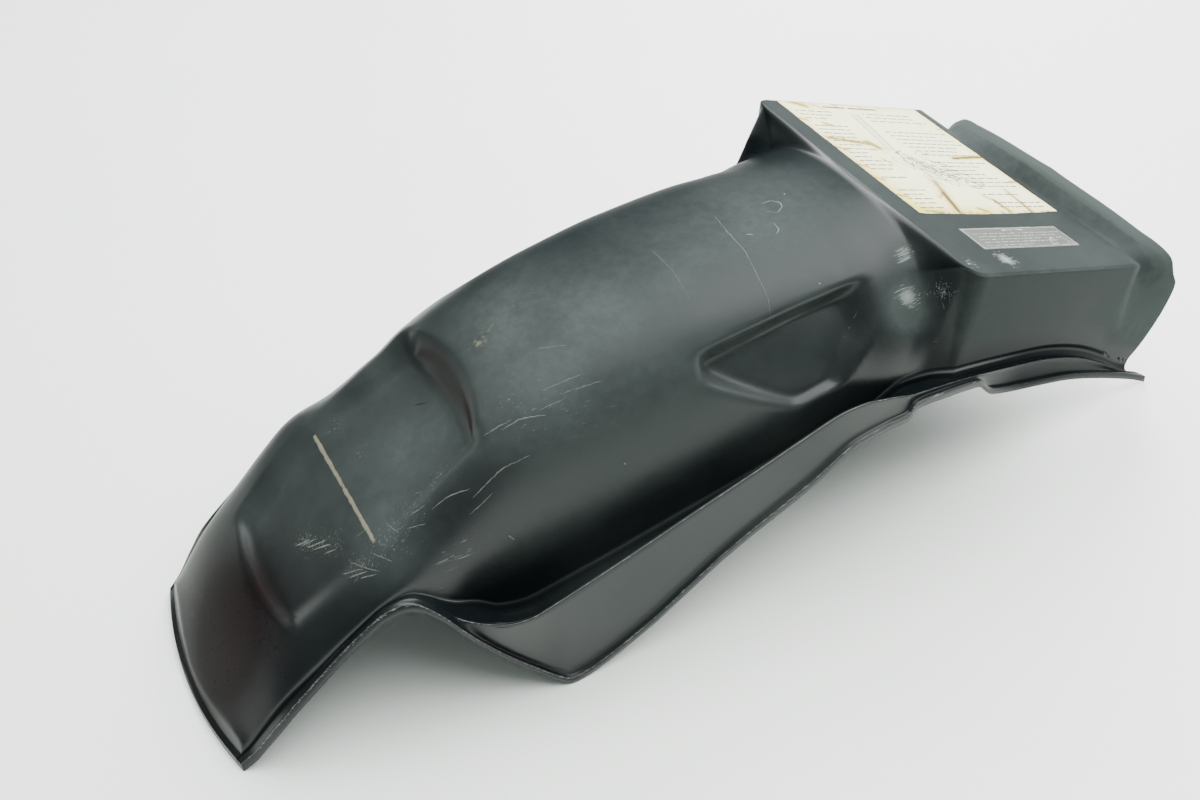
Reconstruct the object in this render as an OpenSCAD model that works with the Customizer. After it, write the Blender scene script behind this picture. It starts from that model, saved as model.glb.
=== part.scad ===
// Rear inner fender of a motorbike: one moulded shell with two stickers on its raised box.
// X runs from the tail to the front, Z up, the mid-plane is Y = 0.

/* [Shell] */
// Wall of the moulding
wall = 2.2; // [1.8:0.1:2.5]
// Height of the lip that hangs from the outer edge
lip_height = 5; // [4:0.5:7]
// Width of the ledge above that lip
ledge_width = 3.5; // [3:0.5:5]
// Distance from the tail corners to the tips of the front flanges
shell_length = 656; // [646:1:670]
// Half the width over the flanges
flange_half = 114.5; // [112:0.5:118]
// Half the width of the tail
tail_half = 69; // [66:0.5:72]
// How far the tail edge bows out behind its corners
tail_bow = 10.5; // [6:0.5:14]

/* [Arch] */
// Height of the crown of the wheel arch
crown_height = 193; // [188:1:198]
// Half the width of the arch where it meets the gutter at the raised box
arch_half = 98.5; // [94:0.5:100]
// Height of the humps in the side lips
hump_height = 89; // [84:1:93]
// Distance of those humps from the tail corners
hump_x = 103; // [99:1:107]
// Slope of the flat pad in front of the ridge, as height over length
pad_rise = 0.54; // [0.5:0.01:0.58]
// Slope of the flat pad behind it
pad_fall = 0.86; // [0.8:0.01:0.9]
// Distance of the ridge between the pads from the tail corners
pad_ridge_x = 104; // [100:1:108]
// Depth of the pocket in the near side of the arch
pocket_depth = 15; // [10:0.5:16]

/* [Side panels] */
// Distance of the panels' rear corners from the tail corners
panel_x = 183; // [180:1:188]
// Depth of the gutter between the arch and each panel
gutter_depth = 34; // [26:1:38]
// Half the distance between the creases on top of the panels
crease_half = 106; // [104:0.5:108]
// Height of the creases at their highest place
crease_height = 122.6; // [119:0.5:126]

/* [Raised box] */
// Distance of the box's rear edge from the tail corners
box_x = 445.9; // [442:1:450]
// Height of that edge
box_height = 185.2; // [181:0.5:188]
// Length of the box's top along its slope
box_length = 165.6; // [160:0.5:170]
// Slope of the box's top in degrees
box_slope = 20.66; // [18:0.5:22]
// Half the width of the box's top
box_half = 104; // [102:0.5:105]
// Lean of the box's rear wall, as length over height
box_lean = 0.3; // [0.1:0.05:0.4]
// Depth of the valley between the box and the front rim
valley_depth = 8; // [4:0.5:10]
// Width of the front rim
rim_width = 6; // [4:0.5:8]
// How much further forward the rim reaches at its corners than in the middle
rim_bow = 12; // [6:0.5:14]
// How much higher the rim's near corner lies, and how much lower its far one, than an even rim
rim_twist = 2.3; // [0:0.1:3]

/* [Stickers] */
// Length of the large sticker along the slope
label_length = 139.2; // [120:0.5:142]
// Width of the large sticker
label_width = 141; // [120:0.5:143]
// Distance of the large sticker from the box's rear edge
label_inset = 18.1; // [14:0.1:22]
// Distance of the large sticker from the box's far side
label_side = 2; // [1:0.1:5]
// Length of the small sticker along the slope
print_length = 96; // [80:0.5:105]
// Width of the small sticker
print_width = 22; // [16:0.5:28]
// Distance of the small sticker from the box's rear edge
print_inset = 34.5; // [26:0.5:44]
// Gap between the two stickers
print_gap = 18; // [8:0.5:22]
// Thickness of both stickers
sticker = 0.25; // [0.2:0.05:0.4]

/* [Hidden] */

// the middle of the footprint is the origin
middle_x = (shell_length - tail_bow) / 2;
box_end_x = box_x + box_length * cos(box_slope);
step_x = box_x - 31;
notch_x = box_x + 30;

// curves along X, each a list of [x, value] that a smooth line is drawn through
crown_line = [[-20, -8], [0, 15.3], [51, 70], [104, 111.5], [140, 142], [170, 162], [200, 175.5],
    [250, crown_height - 5], [300, crown_height], [350, crown_height],
    [box_x - 46, crown_height - 2.5], [box_x - 5, box_height + 1.6], [box_x + 24, box_height - 5]];
fullness_line = [[0, 2.6], [60, 2.5], [104, 2.6], [130, 3.2], [150, 3.3], [170, 3.7], [220, 3.3],
    [270, 3.03], [330, 2.8], [box_x - 66, 2.4], [box_x - 26, 2.15], [box_x - 1, 2.4]];
lip_line = [[0, 0], [8, 6.7], [18, 19], [31, 34], [56, 55.5], [hump_x - 22, hump_height - 12],
    [hump_x - 8, hump_height - 2.2], [hump_x, hump_height], [hump_x + 6, hump_height - 1],
    [hump_x + 12, hump_height - 6], [hump_x + 19, hump_height - 15], [panel_x - 51, 57],
    [panel_x - 38, 38], [panel_x - 20, 16.5], [panel_x - 8, 5], [panel_x, 0], [panel_x + 8, 1.5],
    [panel_x + 49, 18.5], [panel_x + 75, 35], [panel_x + 103, 52.5], [panel_x + 157, 77],
    [panel_x + 192, 94.5], [step_x - 17, 96], [step_x - 4, 95], [step_x, 99], [step_x + 6, 100.5],
    [notch_x - 36, 98], [notch_x - 12, 93.8], [notch_x - 7, 92.3], [notch_x + 6, 79.3],
    [notch_x + 12, 76.2], [notch_x + 54, 62], [shell_length - 99, 52.7], [shell_length - 25, 15.4],
    [shell_length, 0]];
flange_line = [[0, tail_half], [18, tail_half + 4], [31, tail_half + 6], [56, tail_half + 6],
    [hump_x - 22, tail_half + 7.7], [hump_x, tail_half + 11.2], [panel_x - 51, flange_half - 21.7],
    [panel_x - 20, flange_half - 8.5], [panel_x, flange_half - 0.5], [panel_x + 20, flange_half],
    [300, flange_half - 0.5], [375, flange_half - 1.5], [step_x - 4, flange_half - 2],
    [step_x + 2, flange_half - 3.5]];
crease_line = [[0, 10], [hump_x, hump_height + 8], [hump_x + 10, 92], [123, 79], [panel_x - 52, 73],
    [panel_x - 43, 70], [panel_x - 31, 69], [panel_x - 23, 70.5], [panel_x + 34, 83.7],
    [268, crease_height - 25], [307, crease_height - 14.8], [333, crease_height - 7.6],
    [367, crease_height], [box_x - 66, crease_height - 1], [box_x - 51, 117], [box_x - 35, 112.5],
    [box_x, 106], [box_x + 54, 92.5], [527, 84.6], [550, 75], [572, 63], [shell_length - 56, 43.5],
    [shell_length - 33, 25.8], [shell_length - 16, 16], [shell_length, 8]];
crease_out_line = [[0, tail_half - 6], [hump_x, tail_half + 5], [123, crease_half - 25],
    [panel_x - 51, crease_half - 17.5], [panel_x - 31, crease_half - 4], [panel_x - 15, crease_half],
    [box_x - 46, crease_half + 0.5], [step_x, crease_half + 2.5]];
gutter_line = [[128, 0], [panel_x - 43, 7], [panel_x - 23, gutter_depth - 8],
    [panel_x - 5, gutter_depth - 1], [367, gutter_depth], [box_x - 54, gutter_depth - 10],
    [step_x, 7], [box_x - 6, 4.5]];
foot_line = [[0, tail_half - 6], [56, tail_half], [hump_x, tail_half + 4.6], [132, 75], [175, 78],
    [256, arch_half - 14], [340, arch_half - 7.5], [box_x - 46, arch_half - 3],
    [box_x - 21, arch_half], [box_x + 4, box_half]];
lean_line = [[0, 1], [hump_x, 2], [256, 4], [box_x - 6, 6], [box_x + 24, 2]];
bow_line = [[0, -tail_bow], [40, -8], [70, -3], [pad_ridge_x, 0], [140, 3], [175, 9], [215, 4], [260, 0]];
bow_half_line = [[0, tail_half], [40, 45], [70, 40], [pad_ridge_x, 46], [140, 42], [175, 41], [215, 50]];
pad_half_line = [[51, 33], [pad_ridge_x, 43], [169, 36.5], [190, 36]];
// how far forward the front edge of each side reaches, by height
mouth_line = [[20, -24], [29.5, -20.5], [37.5, -16], [50, -10.5], [65.5, -5.5], [74, -4], [82, -4.5],
    [90, -7.6], [98, -11], [106, -16]];

// a smooth line through the points that keeps level where they turn
function piece_of(x, p) = max([0, for (k = [1:1:len(p) - 2]) if (x >= p[k].x) k]);
function chord(p, k) = (p[k + 1].y - p[k].y) / (p[k + 1].x - p[k].x);
function slope(p, k) = k == 0 ? chord(p, 0) : k == len(p) - 1 ? chord(p, k - 1)
    : chord(p, k - 1) * chord(p, k) <= 0 ? 0
    : 2 * chord(p, k - 1) * chord(p, k) / (chord(p, k - 1) + chord(p, k));
function along(p, x) = let (q = min(max(x, p[0].x), p[len(p) - 1].x), k = piece_of(q, p),
    h = p[k + 1].x - p[k].x, t = (q - p[k].x) / h)
    p[k].y * (1 + 2 * t) * (1 - t) ^ 2 + p[k + 1].y * t * t * (3 - 2 * t)
    + h * (slope(p, k) * t * (1 - t) ^ 2 + slope(p, k + 1) * t * t * (t - 1));
function limit(v, a, b) = min(max(v, a), b);
function ease(a, b, x) = let (t = limit((x - a) / (b - a), 0, 1)) t * t * (3 - 2 * t);
function mix(a, b, t) = a + (b - a) * t;

function box_top(x) = box_height - (x - box_x) * tan(box_slope);

// corners of a half section below the arch, as [half width, height]: arch foot, gutter's inner and
// outer side, inner and outer edge of the crest, middle of the panel, ledge's inner and outer side,
// bottom of the lip; towards the tail they close up on the slope above the ledge
crest_width = 2 * wall + 0.4;
tail_share = [0, 0.25, 0.42, 0.58, 0.74, 0.88];
function tail_slope(a, b, u) = [mix(a.x, b.x, u ^ 1.3), mix(b.y, a.y, (1 - u) ^ 1.6)];
function corners(x) = let (
    lip = along(lip_line, x), out = along(flange_line, x), ledge_z = lip + lip_height,
    lean = mix(2.2, 0.5, ease(100, 130, x)),
    ledge = [out - ledge_width - mix(1.4, 0, ease(100, 130, x)), ledge_z],
    crease = [along(crease_out_line, x), along(crease_line, x)],
    floor_z = crease.y - along(gutter_line, x), foot_x = along(foot_line, x),
    panel = ease(120, 146, x), shut = ease(box_x - 56, box_x - 4, x), rise = ease(108, 150, x),
    foot = [foot_x, mix(mix(ledge_z + 2.5, floor_z + 7, rise), crease.y + 7, shut)],
    hollow = 2 * ease(box_x - 66, box_x - 21, x) * limit((crease.y - ledge_z) / 20, 0, 1),
    full = [foot, mix([foot_x + 2, floor_z], [foot_x + 0.3, crease.y + 2], shut),
        mix([mix(foot_x + 2.5, crease.x - crest_width - 2, 0.65), floor_z], [foot_x + 0.9, crease.y + 0.5], shut),
        [max(crease.x - crest_width, foot_x + 1.6), crease.y], crease, mix(crease, ledge, 0.55) - [hollow, 0]])
    [for (k = [0:5]) mix(tail_slope(foot, ledge, tail_share[k]), full[k], k == 0 ? 0 : panel),
        ledge, [out - lean, ledge_z], [out, lip]];
rounding = [0, 6, 5, 0, 0, 12, 1.5, 0, 0];
last_corner = len(rounding) - 1;

// a point on those corners' line: v counts corners, and each corner is rounded
function lower(x, v) = let (p = corners(x), k = limit(floor(v + 0.5), 0, last_corner), f = v - k,
    c = p[k], a = p[max(k - 1, 0)], b = p[min(k + 1, last_corner)], la = norm(a - c), lb = norm(b - c),
    r = min(rounding[k], 0.42 * min(la, lb)),
    s = k > 0 ? c + (a - c) / la * r : c, e = k < last_corner ? c + (b - c) / lb * r : c,
    u = limit((f + 0.25) / 0.5, 0, 1),
    bend = (1 - u) ^ 2 * s + 2 * u * (1 - u) * c + u * u * e)
    mix(mix(bend, (a + c) / 2, limit((-0.25 - f) / 0.25, 0, 1)), (b + c) / 2,
        limit((f - 0.25) / 0.25, 0, 1));

// the arch, and beyond box_x the box: t runs from 0 on the crown to 1 at the foot
edge_t = 0.5;
corner_round = 9;
function upper(x, t) = let (foot = corners(x)[0], n = along(fullness_line, x), lean = along(lean_line, x),
    top = along(crown_line, min(x, box_x + 5)), s = sin(90 * t), c = cos(90 * t),
    r = (s ^ n + c ^ n) ^ (-1 / n), arch = [(foot.x - lean) * s * r + lean * (1 - c * r),
    foot.y + (top - foot.y) * c * r],
    q = limit(x - box_x, 0, corner_round), side = limit((t - edge_t) / (1 - edge_t), 0, 1),
    half = box_half - corner_round + sqrt(max(corner_round ^ 2 - (corner_round - q) ^ 2, 0)),
    edge = [half, box_top(x)], box = t <= edge_t ? [half * t / edge_t, box_top(x)] : mix(edge, foot, side),
    start = box_x - 5 - box_lean * (box_height - arch.y) - 8 * side,
    end = box_x + 1 - box_lean * (box_height - mix(box_height, foot.y, side)))
    mix(arch, box, ease(start, end, x));
function section(x, t, v) = v > 0 ? lower(x, v) : upper(x, t);

// two flat pads meet in a ridge across the crown, with soft slopes at their sides, and each ends in
// a crescent step
ridge_height = 108.2;
function pads(x, y, z) = let (away = x - pad_ridge_x, w = along(pad_half_line, x), h = abs(y),
    flat = ridge_height + away * (away > 0 ? pad_rise : pad_fall),
    side = 1 - ease(w - 3, w + 17, h), bulge = limit(1 - (h / (w + 2)) ^ 2, 0, 1),
    front = 1 - ease(0, 1, (away - 63.5) / (3 + 9.5 * bulge)),
    back = 1 - ease(0, 1, (-away - 52.5) / (3 + 7.5 * bulge)))
    z - max(0, z - flat) * side * front * back;

// the pocket in the near side: each of its six sides is a straight line in x and a, which runs down
// the arch in mm; a point's reach is the least of its distances inside them, softly, as a share of
// the width of each side's slope
function soft_least(shares) = -ln([for (d = shares) exp(-6 * limit(d, -2, 4))] * [for (d = shares) 1]) / 6;
function pocket(x, t) = x < 280 || x > 412 ? 0 : let (a = 163 * t,
    upper_side = (a - 75.5 + 0.045 * (x - 318)) / 14, front_side = (407 - x) / 22,
    front_corner = (0.74 * (404 - x) + 0.67 * (102 - a)) / 10, lower_side = (134 - 0.05 * (x - 350) - a) / 5,
    back_side = (0.81 * (97.5 - a) + 0.58 * (x - 292)) / 8, tip = (x - 286) / 12)
    (pocket_depth - 0.18 * max(0, a - 85))
        * ease(0, 1, soft_least([upper_side, front_side, front_corner, lower_side, back_side, tip]));

// steps in from the tail edge: distance and height of the lip, the ledge and the rise behind it
tail_in = [0, 0.6, ledge_width, 2 * ledge_width];
tail_up = [0, lip_height, lip_height + 0.9, 1000];
tail_side_up = [0, 0.5, 3, 0];
function tail_x(s) = s < 0 ? tail_in[s + 3] : s < 12 ? 2 * ledge_width + s / 3 : s;
function body_point(s, c) = let (x0 = tail_x(s), y0 = section(x0, c[0], c[1]).x,
    x = x0 + along(bow_line, x0) * limit(1 - (y0 / along(bow_half_line, x0)) ^ 2, 0, 1),
    p = section(x, c[0], c[1]),
    cap = s > 0 ? 1000 : tail_up[s + 3] + tail_side_up[s + 3] * (p.x / tail_half) ^ 2,
    dent = c[2] < 0 && c[1] == 0 ? pocket(x, c[0]) : 0)
    [x, c[2] * (p.x - 0.86 * dent), pads(x, p.x, min(p.y, cap)) - 0.5 * dent];

// the front: valley, then the rim, whose outline arches from side to side
rim_x = [0, 5, 12, 19, 19 + rim_width, 24 + rim_width, 26 + rim_width];
rim_share = [0, 0.18, 0.45, 0.72, 0.86, 0.96, 1];
rim_drop = [0, 0, 0, 0, 0, 3.2, 11];
// how far each step is from the edge to the valley's floor, and from there to the rim, at the side
to_floor = [0, 0.85, 1, 1, 1, 1, 1];
to_rim = [0, 0.05, 0.25, 0.65, 0.9, 1, 1];
low_end = [[0, -22], [3, -22], [4, -21], [5, -14], [6, -6], [7, -0.5], [8, 0]];
rim_corner = 101;
corner_height = 106.3;
// share of the lip's length that is lost where the lip runs out at the rim's corners
lip_loss = 0.75;
// how far the valley lies inside the rim's line where it starts down the side
valley_tuck = 6;
function rim_outline(t, side) = let (w = rim_corner * min(t / edge_t, 1), q = max(0, (t - edge_t) / (1 - edge_t)),
    twist = side * rim_twist * w / rim_corner * (1 - q))
    t <= edge_t ? [w, 128.6 - 0.0017 * w * w - 5 * ease(78, rim_corner, w) - twist]
    : [mix(rim_corner, box_half + 0.5, 1 - exp(-10 * q)), mix(corner_height, 26, q) - twist];
function front_low(k, c) = let (x = mix(box_end_x, shell_length + along(low_end, c[1]), rim_share[k]),
    p = section(x, c[0], c[1])) [x, c[2] * p.x, p.y];
function front_high(k, c) = let (t = c[0], rim = rim_outline(t, c[2]), start = section(box_end_x, t, 0),
    w = rim_corner * min(t / edge_t, 1), q = max(0, (t - edge_t) / (1 - edge_t)),
    on_top = 1 - ease(edge_t, edge_t + 0.12, t), lip_top = 1 - ease(edge_t - 0.16, edge_t, t),
    shrink = lip_loss * (1 - lip_top), bow = rim_bow * (w / rim_corner) ^ 2,
    outer_x = box_end_x + rim_x[6] + bow - shrink * (rim_x[6] - rim_x[4]),
    reach = t <= edge_t ? outer_x : shell_length + along(mouth_line, rim.y),
    top_x = box_end_x + rim_x[k] + bow * ease(0, 3, k) - shrink * max(0, rim_x[k] - rim_x[4]),
    x = mix(mix(box_end_x, reach, rim_share[k]), top_x, on_top),
    tuck = valley_tuck * ease(edge_t - 0.08, edge_t, t) * (1 - ease(0, 0.45, q)),
    top_floor = mix(start.y - valley_depth, rim.y - valley_tuck, ease(60, rim_corner, w)),
    valley = [mix(start.x, rim.x, 0.4) - tuck, mix(top_floor, mix(start.y, rim.y, 0.5), ease(0, 0.3, q))],
    skin = mix(mix(start, valley, to_floor[k]), rim, mix(to_rim[k], k < 3 ? 0 : 1, on_top)),
    p = mix(skin, section(x, t, 0), ease(0.7, 1, q)))
    [x, c[2] * p.x, p.y - rim_drop[k] * lip_top];
function front_point(k, c) = c[1] > 0 ? front_low(k, c) : front_high(k, c);
function point(s, c) = s > 1000 ? front_point(s - 1000, c) : body_point(s, c);

// stations along X and columns across: [t, v, side]
stations = [for (s = [-3:1:0]) s, 12, 22, 33, 43, 50, 56, 66, 79, 91, hump_x, 112, 120, 128, 137,
    panel_x - 35, panel_x - 24, panel_x - 15, panel_x - 7, panel_x, 198, 214, 232, 250, 268, 286,
    303, 320, 337, 353, 367, 381, 394, 404, step_x - 4, step_x + 2, 427, 436, 441,
    box_x - 2, box_x + 1, box_x + 4, box_x + 9, box_x + 16, notch_x - 9, notch_x - 4, notch_x + 4,
    notch_x + 11, 505, 530, 555, 578, box_end_x, for (k = [1:6]) 1000 + k];
half_columns = [for (v = [8, 7, 6.2, 5.8, 5, 4, 3, 2.2, 1.8, 1.1]) [1, v],
    for (t = [12:-1:1]) [t / 12, 0]];
columns = [for (c = half_columns) [c[0], c[1], 1], [0, 0, 1],
    for (k = [len(half_columns) - 1:-1:0]) [half_columns[k][0], half_columns[k][1], -1]];
rows = len(stations);
cols = len(columns);
outer_skin = [for (s = stations) [for (c = columns) point(s, c) - [middle_x, 0, 0]]];

// the inner skin lies one wall inside the outer one, and edges keep their height
function unit(v) = v / max(norm(v), 1e-6);
function near(i, j) = outer_skin[limit(i, 0, rows - 1)][limit(j, 0, cols - 1)];
function inward(i, j) = let (p = outer_skin[i][j], a = near(i + 1, j) - p, b = near(i, j + 1) - p,
    c = near(i - 1, j) - p, d = near(i, j - 1) - p,
    faces = [for (f = [cross(a, b), cross(b, c), cross(c, d), cross(d, a)]) if (norm(f) > 1e-6) unit(f)],
    m = unit([for (f = faces) 1] * faces),
    share = ([for (f = faces) 1] * [for (f = faces) f * m]) / len(faces))
    m * wall / max(share, 0.55);
function flat_step(v) = unit([v.x, v.y, 0]) * wall;
inner_skin = [for (i = [0:rows - 1]) [for (j = [0:cols - 1]) let (step = inward(i, j))
    outer_skin[i][j] + (i == 0 || j == 0 || j == cols - 1 ? flat_step(step) : step)]];

function id(layer, i, j) = (layer * rows + i) * cols + j;
// the border of the grid, once round
border = [for (j = [0:cols - 2]) [0, j], for (i = [0:rows - 2]) [i, cols - 1],
    for (j = [cols - 1:-1:1]) [rows - 1, j], for (i = [rows - 1:-1:1]) [i, 0]];

module fender() {
    color("#1f2223") polyhedron(
        points = [for (skin = [outer_skin, inner_skin]) for (row = skin) for (p = row) p],
        faces = [
            for (i = [0:rows - 2]) for (j = [0:cols - 2])
                for (f = j < cols / 2 ? [[0, 0, 1, 1, 1, 0], [0, 0, 0, 1, 1, 1]]
                    : [[0, 0, 0, 1, 1, 0], [0, 1, 1, 1, 1, 0]])
                    for (side = [0, 1]) let (q = [for (k = [0:2]) id(side, i + f[2 * k], j + f[2 * k + 1])])
                        side == 1 ? q : [q[2], q[1], q[0]],
            for (k = [0:len(border) - 1]) let (a = border[k], b = border[(k + 1) % len(border)])
                for (f = [[id(0, a[0], a[1]), id(0, b[0], b[1]), id(1, b[0], b[1])],
                    [id(0, a[0], a[1]), id(1, b[0], b[1]), id(1, a[0], a[1])]]) f]);
}

// a sticker on the box's top, from its own rear far corner
module sticker_at(inset, far_y, length, width) {
    translate([box_x - middle_x, 0, box_height]) rotate([0, box_slope, 0])
        translate([inset, far_y - width, 0]) cube([length, width, sticker]);
}

module label_large() {
    color("#e9e6d2") sticker_at(label_inset, box_half - label_side, label_length, label_width);
}

module label_small() {
    color("#4b504e") sticker_at(print_inset, box_half - label_side - label_width - print_gap,
        print_length, print_width);
}

fender();
label_large();
label_small();
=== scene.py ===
# Rear inner fender of a motorbike: one moulded black shell with two stickers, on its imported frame.
import math
import bpy
import numpy as np
from mathutils import Matrix, Vector


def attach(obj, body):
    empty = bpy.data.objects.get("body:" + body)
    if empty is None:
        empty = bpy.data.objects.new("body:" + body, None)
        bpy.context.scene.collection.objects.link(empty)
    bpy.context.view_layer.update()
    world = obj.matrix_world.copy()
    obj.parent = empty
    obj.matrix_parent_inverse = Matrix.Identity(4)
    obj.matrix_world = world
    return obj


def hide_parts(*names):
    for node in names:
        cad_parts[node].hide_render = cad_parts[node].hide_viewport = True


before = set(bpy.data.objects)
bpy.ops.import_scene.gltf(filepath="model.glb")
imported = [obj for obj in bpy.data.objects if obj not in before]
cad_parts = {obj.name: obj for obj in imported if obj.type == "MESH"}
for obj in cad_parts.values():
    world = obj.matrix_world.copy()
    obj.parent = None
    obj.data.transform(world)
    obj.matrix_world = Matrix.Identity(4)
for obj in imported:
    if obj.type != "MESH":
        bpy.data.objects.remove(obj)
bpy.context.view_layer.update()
mm = 0.001

# helpers


def mix(a, b, t):
    # a where t is 0, b where t is 1, and a straight line between
    return a + (b - a) * t


def ease(a, b, x):
    t = np.clip((x - a) / (b - a), 0.0, 1.0)  # 0 before a, 1 after b, level at both ends
    return t * t * (3.0 - 2.0 * t)


def along(points, x):
    # a smooth line through the points: on each stretch a cubic, with the harmonic mean of the two
    # neighbouring chords as its slope at a point, or level where the chords turn
    px, py = np.array(points, float).T
    h = np.diff(px)
    chord = np.diff(py) / h
    same = chord[:-1] * chord[1:] > 0
    inner = np.where(same, 2 * chord[:-1] * chord[1:] / np.where(same, chord[:-1] + chord[1:], 1), 0)
    slope = np.concatenate([chord[:1], inner, chord[-1:]])
    q = np.clip(x, px[0], px[-1])
    k = np.clip(np.searchsorted(px, q, side="right") - 1, 0, len(h) - 1)
    t = (q - px[k]) / h[k]
    return (py[k] * (1 + 2 * t) * (1 - t) ** 2 + py[k + 1] * t * t * (3 - 2 * t)
            + h[k] * (slope[k] * t * (1 - t) ** 2 + slope[k + 1] * t * t * (t - 1)))


def makeMesh(name, points, faces, smooth=True):
    # an object from points in metres and faces of point numbers
    mesh = bpy.data.meshes.new(name)
    mesh.from_pydata(points.reshape(-1, 3).tolist(), [], faces.tolist())
    mesh.polygons.foreach_set("use_smooth", np.full(len(mesh.polygons), smooth))
    mesh.update()
    thing = bpy.data.objects.new(name, mesh)
    bpy.context.scene.collection.objects.link(thing)
    return thing


def gridFaces(rows, cols):
    # one four-cornered face for each cell of a grid of rows by columns
    i, j = np.meshgrid(np.arange(rows - 1), np.arange(cols - 1), indexing="ij")
    first = (i * cols + j).ravel()
    return np.stack([first, first + 1, first + cols + 1, first + cols], axis=1)


# the moulded shell

# sizes in millimetres: x runs from the tail's corners, z from the table
shell = {
    "wall": 2.2, "lip": 5.0, "ledge": 3.5, "length": 656.0, "flangeHalf": 114.5,
    "tailHalf": 69.0, "tailBow": 10.5, "crown": 193.0, "archHalf": 98.5, "hump": 89.0,
    "humpX": 103.0, "ridgeX": 104.0, "padRise": 0.54, "padFall": 0.86, "pocket": 15.0,
    "panelX": 183.0, "gutter": 34.0, "creaseHalf": 106.0, "crease": 122.6, "crest": 2.2,
    "boxX": 445.9, "boxHeight": 185.2, "boxLength": 165.6, "boxSlope": math.radians(20.66),
    "boxHalf": 104.0, "boxEdge": 2.2, "boxCorner": 9.0, "boxLean": 0.3, "valley": 8.0, "rim": 6.0,
    "rimCorner": 101.0, "rimBow": 12.0, "rimTwist": 2.3, "valleyWidth": 19.0, "rimLip": 7.0,
    "padHeight": 108.2, "frontStep": 63.5, "backStep": 52.5, "archRun": 163.0, "pocketFull": 85.0,
    "pocketFade": 0.18, "pocketIn": 0.86, "pocketDown": 0.5, "cornerBow": 3.7, "lipShrink": 0.75,
    "foldThin": 0.85,
}
s = shell
# the sizes that are used most
boxX, panelX, humpX, ridgeX, endX = [s[key] for key in ("boxX", "panelX", "humpX", "ridgeX", "length")]
tailHalf, flangeHalf, creaseHalf = s["tailHalf"], s["flangeHalf"], s["creaseHalf"]
boxHeight, boxSlope = s["boxHeight"], s["boxSlope"]
boxEndX = boxX + s["boxLength"] * math.cos(boxSlope)
stepX = boxX - 31  # the torn step in the lip
notchX = boxX + 30  # the notch in the lip below the box
middleX = (endX - s["tailBow"]) / 2
edgeT = 0.5  # the place across the shell of the box's side edge

# lines over x: heights of the crown and lip, the arch's squareness, half widths of the flange
crownLine = [
    [-20, -8], [0, 15.3], [51, 70], [104, 111.5], [140, 142], [170, 162], [200, 175.5],
    [250, s["crown"] - 5], [300, s["crown"]], [350, s["crown"]], [boxX - 46, s["crown"] - 2.5],
    [boxX - 5, boxHeight + 1.6], [boxX + 24, boxHeight - 5],
]
fullnessLine = [
    [0, 2.6], [60, 2.5], [104, 2.6], [130, 3.2], [150, 3.3], [170, 3.7], [220, 3.3], [270, 3.03],
    [330, 2.8], [boxX - 66, 2.4], [boxX - 26, 2.15], [boxX - 1, 2.4],
]
lipLine = [
    [0, 0], [8, 6.7], [18, 19], [31, 34], [56, 55.5], [humpX - 22, s["hump"] - 12],
    [humpX - 8, s["hump"] - 2.2], [humpX, s["hump"]], [humpX + 6, s["hump"] - 1],
    [humpX + 12, s["hump"] - 6], [humpX + 19, s["hump"] - 15], [panelX - 51, 57], [panelX - 38, 38],
    [panelX - 20, 16.5], [panelX - 8, 5], [panelX, 0], [panelX + 8, 1.5], [panelX + 49, 18.5],
    [panelX + 75, 35], [panelX + 103, 52.5], [panelX + 157, 77], [panelX + 192, 94.5], [stepX - 17, 96],
    [stepX - 4, 95], [stepX, 99], [stepX + 6, 100.5], [notchX - 36, 98], [notchX - 12, 93.8],
    [notchX - 7, 92.3], [notchX + 6, 79.3], [notchX + 12, 76.2], [notchX + 54, 62], [endX - 99, 52.7],
    [endX - 25, 15.4], [endX, 0],
]
flangeLine = [
    [0, tailHalf], [18, tailHalf + 4], [31, tailHalf + 6], [56, tailHalf + 6],
    [humpX - 22, tailHalf + 7.7], [humpX, tailHalf + 11.2], [panelX - 51, flangeHalf - 21.7],
    [panelX - 20, flangeHalf - 8.5], [panelX, flangeHalf - 0.5], [panelX + 20, flangeHalf],
    [300, flangeHalf - 0.5], [375, flangeHalf - 1.5], [stepX - 4, flangeHalf - 2],
    [stepX + 2, flangeHalf - 3.5],
]
# the crest of the gutter: its height, its half width and the gutter's depth below it
creaseLine = [
    [0, 10], [humpX, s["hump"] + 8], [humpX + 10, 92], [123, 79], [panelX - 52, 73], [panelX - 43, 70],
    [panelX - 31, 69], [panelX - 23, 70.5], [panelX + 34, 83.7], [268, s["crease"] - 25],
    [307, s["crease"] - 14.8], [333, s["crease"] - 7.6], [367, s["crease"]], [boxX - 66, s["crease"] - 1],
    [boxX - 51, 117], [boxX - 35, 112.5], [boxX, 106], [boxX + 54, 92.5], [527, 84.6], [550, 75],
    [572, 63], [endX - 56, 43.5], [endX - 33, 25.8], [endX - 16, 16], [endX, 8],
]
creaseOutLine = [
    [0, tailHalf - 6], [humpX, tailHalf + 5], [123, creaseHalf - 25], [panelX - 51, creaseHalf - 17.5],
    [panelX - 31, creaseHalf - 4], [panelX - 15, creaseHalf], [boxX - 46, creaseHalf + 0.5],
    [stepX, creaseHalf + 2.5],
]
gutterLine = [
    [128, 0], [panelX - 43, 7], [panelX - 23, s["gutter"] - 8], [panelX - 5, s["gutter"] - 1],
    [367, s["gutter"]], [boxX - 54, s["gutter"] - 10], [stepX, 7], [boxX - 6, 4.5],
]
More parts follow.
